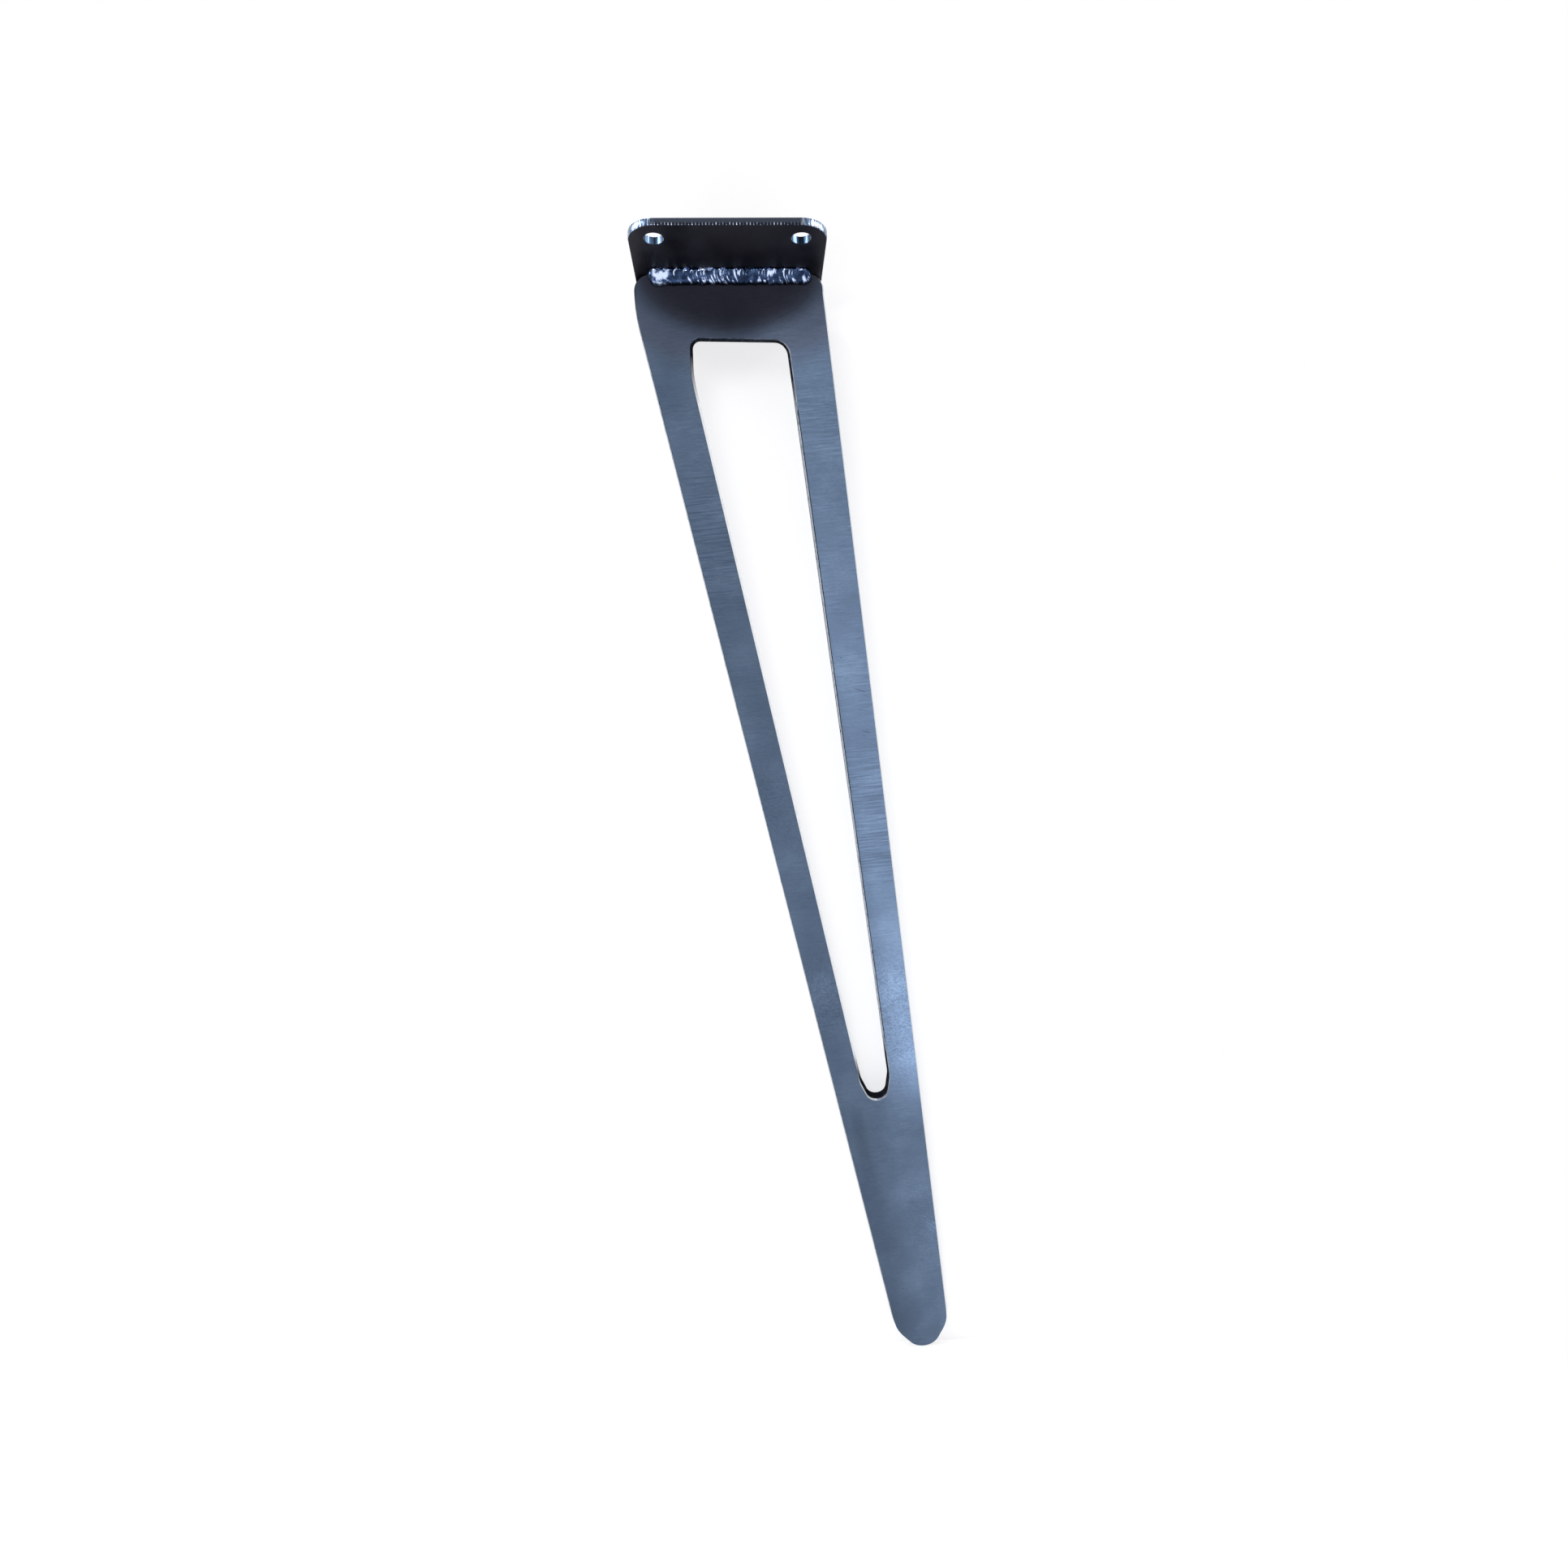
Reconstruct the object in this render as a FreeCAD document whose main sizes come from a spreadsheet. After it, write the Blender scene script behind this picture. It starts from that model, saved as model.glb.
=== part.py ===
"""Flat-bar hairpin table leg: a slotted steel blade welded under a drilled mounting plate.

The blade is one profile cut from thick plate: a slanted, tapering leg with a long slot that
leaves two prongs, a rounded foot, and a root as wide as the mounting plate. Its cut walls are
bevelled, so that its rear face is a little larger than its front face. It leans back from the
plate, and a fillet weld in each inner corner joins the two.

Frame: millimetres, +Z up. The origin is the middle of the plate's top face, which bears on the
underside of a table. The blade hangs below the plate, leans towards +Y on its way down and
slants towards +X. The front weld and the wide inner angle face -Y.
"""
import FreeCAD
import Part

import math
import os

import Sketcher

SIZES = (
    ("overall_height", 711.2, "table underside to floor"),
    ("plate_width", 101.6, "mounting plate along X, also the width of the blade's root"),
    ("plate_depth", 101.6, "mounting plate along Y"),
    ("plate_thickness", 3.8, "mounting plate"),
    ("plate_corner", 14.0, "radius of the plate's four corners"),
    ("hole_diameter", 10.3, "screw holes"),
    ("hole_inset_side", 13.3, "hole centre to the plate's side edge"),
    ("hole_inset_front", 12.0, "hole centre to the plate's front or rear edge"),
    ("blade_thickness", 7.94, "blade"),
    ("blade_lean", 22.5, "degrees that the blade leans back from the plate's normal"),
    ("cut_bevel", 9.7, "degrees that every cut wall leans outwards towards the rear face"),
    ("foot_shift", 133.2, "foot's middle to the plate's middle, along X"),
    ("foot_width", 40.2, "blade's width across the foot, level with the centre of its tip"),
    ("root_corner", 7.7, "radius of the root's two outer corners"),
    ("left_root_run", 11.1, "plumb edge below the left root corner"),
    ("right_root_run", 1.5, "plumb edge below the right root corner"),
    ("root_blend", 75.0, "radius between the left plumb edge and the outer edge"),
    ("foot_tip_round", 13.0, "radius of the foot's tip"),
    ("foot_flank_angle", 32.0, "degrees between the leg's axis and each flank of the foot"),
    ("foot_knuckle", 30.0, "radius between each outer edge and the foot's flank"),
    ("foot_web", 231.2, "solid blade between the slot's lower end and the foot's tip"),
    ("slot_top_drop", 31.5, "slot's upper left corner below the plate"),
    ("slot_top_tilt", 1.15, "degrees that the slot's upper edge falls to the right"),
    ("left_rail_width", 28.4, "root's left edge to the slot"),
    ("right_rail_width", 18.6, "root's right edge to the slot's upper right corner"),
    ("slot_left_run", 20.2, "plumb edge below the slot's upper left corner"),
    ("left_prong_width", 18.5, "left prong, level with the centre of the slot's lower end"),
    ("toe_width", 21.75, "slot's width there"),
    ("slot_corner_left", 5.5, "radius of the slot's upper left corner"),
    ("slot_corner_right", 9.0, "radius of the slot's upper right corner"),
    ("slot_knee_round", 55.0, "radius between the slot's plumb edge and its left edge"),
    ("toe_tip_round", 8.4, "radius of the slot's lower end"),
    ("toe_flank_angle", 15.0, "degrees between the leg's axis and each flank of the slot's end"),
    ("toe_knuckle", 20.0, "radius between each slot edge and the flank of the slot's end"),
    ("weld_plate_leg", 7.1, "width of a weld on the plate"),
    ("weld_blade_leg", 5.0, "width of a weld on the blade"),
    ("weld_bulge", 1.3, "height of a weld's crown over the line between its toes"),
    ("weld_end_gap", 0.3, "weld's end to the start of the root's corner radius"),
    ("weld_end_run", 3.2, "length over which a weld's ends round off"),
    ("start_run", 11.5, "length of the fat pool where a weld was started"),
    ("start_rise", 1.3, "extra width of that pool on the plate"),
    ("ripple_pitch", 1.7, "spacing of the ripples in a weld"),
    ("ripple_depth", 0.4, "height of a ripple's crest over its valley"),
    ("ripple_bow", 1.5, "distance that a ripple's middle trails behind its ends"),
)

ROOT_HALF = "(Sizes.plate_width / 2)"
LEAN = "(Sizes.blade_lean * 1 deg)"
REACH = f"((Sizes.overall_height - Sizes.plate_thickness) / cos({LEAN}))"

LEFT_SHOULDER = "(Sizes.root_corner + Sizes.left_root_run)"
RIGHT_SHOULDER = "(Sizes.root_corner + Sizes.right_root_run)"
FOOT_DROP = f"({REACH} - Sizes.foot_tip_round)"
FOOT_LEFT = "(Sizes.foot_shift - Sizes.foot_width / 2)"
FOOT_RIGHT = "(Sizes.foot_shift + Sizes.foot_width / 2)"
LEFT_EDGE = f"atan(({FOOT_LEFT} + {ROOT_HALF}) / ({FOOT_DROP} - {LEFT_SHOULDER}))"
RIGHT_EDGE = f"atan(({FOOT_RIGHT} - {ROOT_HALF}) / ({FOOT_DROP} - {RIGHT_SHOULDER}))"
SLANT = (f"atan(Sizes.foot_shift"
         f" / ({FOOT_DROP} - ({LEFT_SHOULDER} + {RIGHT_SHOULDER}) / 2))")
FOOT_POINT = "(Sizes.foot_tip_round / sin(Sizes.foot_flank_angle * 1 deg))"

SLOT_LEFT = f"(Sizes.left_rail_width - {ROOT_HALF})"
SLOT_RIGHT = f"({ROOT_HALF} - Sizes.right_rail_width)"
SLOT_TOP_RIGHT = (f"(Sizes.slot_top_drop"
                  f" + ({SLOT_RIGHT} - {SLOT_LEFT}) * tan(Sizes.slot_top_tilt * 1 deg))")
SLOT_KNEE = "(Sizes.slot_top_drop + Sizes.slot_left_run)"
TOE_DROP = f"({REACH} - Sizes.foot_web - Sizes.toe_tip_round)"
TOE_LEFT = (f"(({TOE_DROP} - {LEFT_SHOULDER}) * tan({LEFT_EDGE}) - {ROOT_HALF}"
            f" + Sizes.left_prong_width)")
TOE_RIGHT = f"({TOE_LEFT} + Sizes.toe_width)"
SLOT_LEFT_EDGE = f"atan(({TOE_LEFT} - {SLOT_LEFT}) / ({TOE_DROP} - {SLOT_KNEE}))"
SLOT_RIGHT_EDGE = f"atan(({TOE_RIGHT} - {SLOT_RIGHT}) / ({TOE_DROP} - {SLOT_TOP_RIGHT}))"
TOE_POINT = "(Sizes.toe_tip_round / sin(Sizes.toe_flank_angle * 1 deg))"

CORNER_SIGNS = ((-1, -1), (1, -1), (1, 1), (-1, 1))
TRIM_MARGIN = 3.0
BEAD_END_SCALE = 0.3
RIPPLE_VALLEY = 0.25
RIPPLE_CREST = 0.85


def make_sheet(doc):
    """Put every driving dimension in a spreadsheet, one named cell each."""
    sheet = doc.addObject("Spreadsheet::Sheet", "Sizes")
    for row, (name, value, meaning) in enumerate(SIZES, start=1):
        sheet.set(f"A{row}", name)
        sheet.set(f"B{row}", str(value))
        sheet.set(f"C{row}", meaning)
        sheet.setAlias(f"B{row}", name)
    doc.recompute()
    return sheet


def make_body(doc, label):
    """Start a body, whose label names its piece."""
    body = doc.addObject("PartDesign::Body", label)
    body.Label = label
    return body


def make_sketch(body, name, role):
    """Attach an empty sketch to one of the body's own origin planes."""
    sketch = body.newObject("Sketcher::SketchObject", name)
    plane = [item for item in body.Origin.OriginFeatures if item.Role == role][0]
    sketch.AttachmentSupport = [(plane, "")]
    sketch.MapMode = "FlatFace"
    return sketch


def bind(sketch, constraint, expression):
    """Add a constraint to a sketch and tie its value to the spreadsheet."""
    index = sketch.addConstraint(constraint)
    sketch.setExpression(f"Constraints[{index}]", expression)


def read(sketch, expression):
    """Number that an expression over the sizes comes to."""
    value = sketch.evalExpression(expression)
    return getattr(value, "Value", value)


def draw_polygon(sketch, corners):
    """Draw a closed polygon through corners given as expressions, and join its corners."""
    points = [FreeCAD.Vector(read(sketch, across), read(sketch, up), 0)
              for across, up in corners]
    for start, end in zip(points, points[1:] + points[:1]):
        sketch.addGeometry(Part.LineSegment(start, end), False)
    for index in range(len(points)):
        following = (index + 1) % len(points)
        sketch.addConstraint(Sketcher.Constraint("Coincident", index, 2, following, 1))


def fix_corners(sketch, corners, chosen):
    """Tie the chosen corners of a polygon to their expressions."""
    for line in chosen:
        across, up = corners[line]
        start = sketch.Geometry[line].StartPoint
        bind(sketch, Sketcher.Constraint("DistanceX", -1, 1, line, 1, start.x), across)
        bind(sketch, Sketcher.Constraint("DistanceY", -1, 1, line, 1, start.y), up)


def fix_angle(sketch, line, angle):
    """Set the direction of a line, anticlockwise from the sketch's first axis."""
    drawn = math.radians(read(sketch, angle))
    bind(sketch, Sketcher.Constraint("Angle", line, drawn), angle)


def round_corners(sketch, radii):
    """Round the corners of a solved polygon, each named by the line that starts there."""
    sketch.Document.recompute()
    sheet = sketch.Document.getObject("Sizes")
    for line, radius in radii:
        drawn = getattr(sheet, radius)
        sketch.fillet(line, 1, drawn, True, True)
        arc = sketch.GeometryCount - 2
        bind(sketch, Sketcher.Constraint("Radius", arc, drawn), f"Sizes.{radius}")
    sketch.Document.recompute()


def make_plate(doc):
    """Square mounting plate with rounded corners and a screw hole in each corner."""
    body = make_body(doc, "mounting_plate")

    outline = make_sketch(body, "plate_outline", "XY_Plane")
    corners = [(f"{side} * Sizes.plate_width / 2", f"{end} * Sizes.plate_depth / 2")
               for side, end in CORNER_SIGNS]
    draw_polygon(outline, corners)
    fix_corners(outline, corners, range(4))
    round_corners(outline, [(line, "plate_corner") for line in range(4)])
    slab = body.newObject("PartDesign::Pad", "plate_slab")
    slab.Profile = outline
    slab.Reversed = True
    slab.setExpression("Length", "Sizes.plate_thickness")

    centres = make_sketch(body, "hole_centres", "XY_Plane")
    diameter = read(centres, "Sizes.hole_diameter")
    for side, end in CORNER_SIGNS:
        across = f"{side} * (Sizes.plate_width / 2 - Sizes.hole_inset_side)"
        up = f"{end} * (Sizes.plate_depth / 2 - Sizes.hole_inset_front)"
        start = FreeCAD.Vector(read(centres, across), read(centres, up), 0)
        circle = Part.Circle(start, FreeCAD.Vector(0, 0, 1), diameter / 2)
        hole = centres.addGeometry(circle, False)
        bind(centres, Sketcher.Constraint("DistanceX", -1, 1, hole, 3, start.x), across)
        bind(centres, Sketcher.Constraint("DistanceY", -1, 1, hole, 3, start.y), up)
        bind(centres, Sketcher.Constraint("Diameter", hole, diameter), "Sizes.hole_diameter")
    holes = body.newObject("PartDesign::Pocket", "screw_holes")
    holes.Profile = centres
    holes.Type = "ThroughAll"
    body.Tip = holes
    doc.recompute()
    check_cut("screw holes", slab, holes)
    return body


def sketch_blade_outline(body):
    """Outer edge of the blade's front face: sharp corners first, then their radii."""
    outline = make_sketch(body, "blade_outline", "XY_Plane")
    corners = [(f"-{ROOT_HALF}", "0"),
               (f"-{ROOT_HALF}", f"-{LEFT_SHOULDER}"),
               (FOOT_LEFT, f"-{FOOT_DROP}"),
               (f"Sizes.foot_shift + {FOOT_POINT} * sin({SLANT})",
                f"-({FOOT_DROP} + {FOOT_POINT} * cos({SLANT}))"),
               (FOOT_RIGHT, f"-{FOOT_DROP}"),
               (ROOT_HALF, f"-{RIGHT_SHOULDER}"),
               (ROOT_HALF, "0")]
    draw_polygon(outline, corners)
    fix_corners(outline, corners, (0, 1, 3, 5, 6))
    fix_angle(outline, 1, f"{LEFT_EDGE} - 90 deg")
    fix_angle(outline, 2, f"{SLANT} + (Sizes.foot_flank_angle - 90) * 1 deg")
    fix_angle(outline, 3, f"{SLANT} + (90 - Sizes.foot_flank_angle) * 1 deg")
    fix_angle(outline, 4, f"{RIGHT_EDGE} + 90 deg")
    round_corners(outline, ((0, "root_corner"), (6, "root_corner"), (1, "root_blend"),
                            (2, "foot_knuckle"), (3, "foot_tip_round"), (4, "foot_knuckle")))
    return outline


def sketch_slot_outline(body):
    """Edge of the long slot at the blade's front face: sharp corners first, then their radii."""
    outline = make_sketch(body, "slot_outline", "XY_Plane")
    corners = [(SLOT_LEFT, "-Sizes.slot_top_drop"),
               (SLOT_LEFT, f"-{SLOT_KNEE}"),
               (TOE_LEFT, f"-{TOE_DROP}"),
               (f"{TOE_LEFT} + Sizes.toe_width / 2 + {TOE_POINT} * sin({SLANT})",
                f"-({TOE_DROP} + {TOE_POINT} * cos({SLANT}))"),
               (TOE_RIGHT, f"-{TOE_DROP}"),
               (SLOT_RIGHT, f"-{SLOT_TOP_RIGHT}")]
    draw_polygon(outline, corners)
    fix_corners(outline, corners, (0, 1, 3, 5))
    fix_angle(outline, 1, f"{SLOT_LEFT_EDGE} - 90 deg")
    fix_angle(outline, 2, f"{SLANT} + (Sizes.toe_flank_angle - 90) * 1 deg")
    fix_angle(outline, 3, f"{SLANT} + (90 - Sizes.toe_flank_angle) * 1 deg")
    fix_angle(outline, 4, f"{SLOT_RIGHT_EDGE} + 90 deg")
    round_corners(outline, ((0, "slot_corner_left"), (5, "slot_corner_right"),
                            (1, "slot_knee_round"), (2, "toe_knuckle"), (3, "toe_tip_round"),
                            (4, "toe_knuckle")))
    return outline


def sketch_root_trim(body):
    """Wedge above the blade's root, cut away so that the leaning blade meets the plate flush."""
    trim = make_sketch(body, "root_trim", "YZ_Plane")
    past_rear = f"(Sizes.blade_thickness + {TRIM_MARGIN})"
    corners = [(f"{TRIM_MARGIN} * tan({LEAN})", f"{TRIM_MARGIN}"),
               (f"-{past_rear} * tan({LEAN})", f"-{past_rear}"),
               (past_rear, f"-{past_rear}"),
               (past_rear, f"{TRIM_MARGIN}")]
    draw_polygon(trim, corners)
    fix_corners(trim, corners, range(4))
    return trim


def make_blade(doc):
    """Slotted leg blade: bevelled profile, slot between the prongs, and flush root."""
    body = make_body(doc, "leg_blade")

    profile = body.newObject("PartDesign::Pad", "blade_profile")
    profile.Profile = sketch_blade_outline(body)
    profile.Reversed = True
    profile.setExpression("Length", "Sizes.blade_thickness")
    profile.setExpression("TaperAngle", "Sizes.cut_bevel")

    slot = body.newObject("PartDesign::Pocket", "slot")
    slot.Profile = sketch_slot_outline(body)
    slot.setExpression("Length", "Sizes.blade_thickness")
    slot.setExpression("TaperAngle", "-Sizes.cut_bevel")

    root = body.newObject("PartDesign::Pocket", "flush_root")
    root.Profile = sketch_root_trim(body)
    root.Type = "ThroughAll"
    root.Midplane = True
    body.Tip = root
    doc.recompute()
    check_cut("slot", profile, slot)
    check_cut("flush root", slot, root)

    body.Placement = FreeCAD.Placement(
        FreeCAD.Vector(0, 0, 0), FreeCAD.Rotation(FreeCAD.Vector(1, 0, 0), 100))
    body.setExpression("Placement.Rotation.Angle", "90 + Sizes.blade_lean")
    body.setExpression("Placement.Base.y", f"-Sizes.blade_thickness / (2 * cos({LEAN}))")
    body.setExpression("Placement.Base.z", "-Sizes.plate_thickness")
    return body


def check_cut(name, before, after):
    """Stop where a cut left the solid as it was."""
    if after.Shape.Volume >= before.Shape.Volume:
        raise RuntimeError(f"{name} removed nothing")


def bead_section(heel, on_plate, on_blade, bulge, scale, bow):
    """One cross-section of a weld: flat on plate and blade, crowned between its toes.

    heel is the point in the inner corner, and on_plate and on_blade are vectors along the
    two faces, as long as the weld's legs. bow moves the crown along X behind the toes.
    """
    plate_toe = heel + on_plate * scale
    blade_toe = heel + on_blade * scale
    chord = blade_toe - plate_toe
    middle = (plate_toe + blade_toe) * 0.5
    outwards = middle - heel
    outwards -= chord * (outwards.dot(chord) / chord.dot(chord))
    outwards.normalize()
    crown = middle + outwards * bulge * scale - FreeCAD.Vector(bow, 0, 0)
    return Part.Wire([Part.LineSegment(heel, plate_toe).toShape(),
                      Part.Arc(plate_toe, crown, blade_toe).toShape(),
                      Part.LineSegment(blade_toe, heel).toShape()])


def bead_growth(sheet, half_length, place):
    """How far a weld's end has rounded up at a place along X, and the section's size there.

    Both are shares, of the finished rounding and of the full section.
    """
    from_end = min((half_length - abs(place)) / sheet.weld_end_run, 1)
    rounding = math.sqrt(1 - (1 - from_end) ** 2)
    along_start = min((half_length + place) / sheet.start_run, 1)
    pool = sheet.start_rise / sheet.weld_plate_leg * (1 + math.cos(math.pi * along_start)) / 2
    return rounding, (BEAD_END_SCALE + (1 - BEAD_END_SCALE) * rounding) * (1 + pool)


def make_bead(doc, sheet, label, side):
    """Rippled fillet weld along X, in front of the blade (side -1) or behind it (side +1)."""
    lean = math.radians(sheet.blade_lean)
    half_root = sheet.blade_thickness / (2 * math.cos(lean))
    on_plate = FreeCAD.Vector(0, side * sheet.weld_plate_leg, 0)
    on_blade = FreeCAD.Vector(0, math.sin(lean), -math.cos(lean)) * sheet.weld_blade_leg

    half_length = sheet.plate_width / 2 - sheet.root_corner - sheet.weld_end_gap
    ripples = round(2 * half_length / sheet.ripple_pitch)
    pitch = 2 * half_length / ripples
    swell = sheet.ripple_depth / sheet.weld_plate_leg
    stations = [(-half_length, BEAD_END_SCALE, 0)]
    for ripple in range(ripples):
        for share, height in ((RIPPLE_VALLEY, 0), (RIPPLE_CREST, swell)):
            place = (ripple + share) * pitch - half_length
            rounding, scale = bead_growth(sheet, half_length, place)
            stations.append((place, scale * (1 - swell + height), sheet.ripple_bow * rounding))
    stations.append((half_length, BEAD_END_SCALE, 0))

    sections = []
    for place, scale, bow in stations:
        heel = FreeCAD.Vector(place, side * half_root, -sheet.plate_thickness)
        sections.append(bead_section(heel, on_plate, on_blade, sheet.weld_bulge, scale, bow))
    bead = doc.addObject("Part::Feature", label)
    bead.Label = label
    bead.Shape = Part.makeLoft(sections, True, True)
    bead.Placement = FreeCAD.Placement()
    return bead


def check_document(doc, pieces):
    """Stop on a failed feature or on a piece that isn't one valid solid."""
    for item in doc.Objects:
        if "Invalid" in item.State or "Error" in item.State:
            raise RuntimeError(f"{item.Name} failed: {item.State}")
    for piece in pieces:
        shape = piece.Shape
        if shape.isNull() or not shape.isValid() or len(shape.Solids) != 1:
            raise RuntimeError(f"{piece.Label} is not one valid solid")


def main():
    """Build the leg and write each piece to its own file."""
    doc = FreeCAD.newDocument("table_leg")
    sheet = make_sheet(doc)
    pieces = [make_plate(doc), make_blade(doc),
              make_bead(doc, sheet, "weld_bead_front", -1),
              make_bead(doc, sheet, "weld_bead_rear", 1)]
    doc.recompute()
    check_document(doc, pieces)
    os.makedirs("parts", exist_ok=True)
    for piece in pieces:
        piece.Shape.exportStep(f"parts/{piece.Label}.step")
        box = piece.Shape.BoundBox
        print(f"{piece.Label}: {piece.Shape.Volume:.0f} mm3, x {box.XMin:.2f} to {box.XMax:.2f},"
              f" y {box.YMin:.2f} to {box.YMax:.2f}, z {box.ZMin:.2f} to {box.ZMax:.2f}")


main()
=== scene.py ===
"""Studio scene of a flat-bar hairpin table leg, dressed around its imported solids.

The leg hangs as it does under a table: the mounting plate's top face is at z = 0, the foot
stands on the floor, and the front weld faces -Y. Blender's lengths are metres. Sizes in the
classes and coordinates inside the materials are millimetres.
"""
import logging
import math
import random
from collections.abc import Callable
from dataclasses import dataclass
from enum import Enum, IntEnum
from typing import Any

import bpy
from mathutils import Matrix, Vector


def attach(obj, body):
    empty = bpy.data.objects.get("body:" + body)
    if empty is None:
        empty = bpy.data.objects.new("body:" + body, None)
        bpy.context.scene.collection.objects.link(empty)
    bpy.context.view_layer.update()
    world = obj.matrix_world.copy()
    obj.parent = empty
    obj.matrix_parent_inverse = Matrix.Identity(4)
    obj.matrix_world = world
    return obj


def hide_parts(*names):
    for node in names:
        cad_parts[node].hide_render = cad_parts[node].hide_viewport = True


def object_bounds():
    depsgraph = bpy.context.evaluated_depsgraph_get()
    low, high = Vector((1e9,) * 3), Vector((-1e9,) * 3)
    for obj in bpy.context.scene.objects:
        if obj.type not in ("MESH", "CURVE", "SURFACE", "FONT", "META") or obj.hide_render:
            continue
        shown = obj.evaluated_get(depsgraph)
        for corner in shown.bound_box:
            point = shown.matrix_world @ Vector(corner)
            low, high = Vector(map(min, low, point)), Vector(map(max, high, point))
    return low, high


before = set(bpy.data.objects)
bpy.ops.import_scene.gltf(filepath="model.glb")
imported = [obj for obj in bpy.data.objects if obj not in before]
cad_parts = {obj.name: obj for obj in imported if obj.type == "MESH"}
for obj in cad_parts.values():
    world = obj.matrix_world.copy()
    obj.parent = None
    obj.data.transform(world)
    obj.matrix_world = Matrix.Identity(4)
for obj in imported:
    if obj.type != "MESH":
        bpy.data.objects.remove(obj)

CAD_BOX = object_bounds()
MM = 0.001
LOG = logging.getLogger("table_leg")

PLATE_THICKNESS = 3.8
BLADE_THICKNESS = 7.94
BLADE_LEAN = math.radians(22.5)
LEG_SLANT = math.radians(10.2)
GROOVE_PITCH = 1.7
# Cosine of a normal's angle to a flat face's, above which a facet is part of that face.
FLAT_COSINE = 0.95
# Values that fractal noise seldom leaves.
NOISE_RANGE = (0.3, 0.7)

Point = tuple[float, float, float]
Run = tuple[float, float, float, float]
Curve = tuple[tuple[float, float], ...]
Stops = tuple[tuple[float, str], ...]
Face = bpy.types.MeshPolygon
Material = bpy.types.Material
Node = bpy.types.Node
Piece = bpy.types.Object


class Side(Enum):
    """Side of the blade that a weld is on, as a sign along Y."""

    FRONT = -1
    REAR = 1


class Prong(Enum):
    """One of the blade's two prongs, seen from the front."""

    LEFT = "left"
    RIGHT = "right"


class PlateSlot(IntEnum):
    """Material slots of the mounting plate."""

    SCALE = 0
    EDGE = 1
    BORE = 2


class BladeSlot(IntEnum):
    """Material slots of the blade. Left and right are the way that a wall faces."""

    FACE = 0
    SLOT_LEFT = 1
    SLOT_RIGHT = 2
    OUTER_LEFT = 3
    OUTER_RIGHT = 4
    BLUE_ARRIS = 5
    BROWN_ARRIS = 6
    BRIGHT_ARRIS = 7


def linear(code: str) -> tuple[float, float, float, float]:
    """Turn an sRGB hex colour into the linear colour that shaders take.

    Args:
        code: Six hex digits after a hash sign.

    Returns:
        Red, green, blue and alpha, from 0 to 1.
    """
    parts = [int(code[place:place + 2], 16) / 255 for place in (1, 3, 5)]
    red, green, blue = (part / 12.92 if part <= 0.04045 else ((part + 0.055) / 1.055) ** 2.4
                        for part in parts)
    return red, green, blue, 1.0


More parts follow.
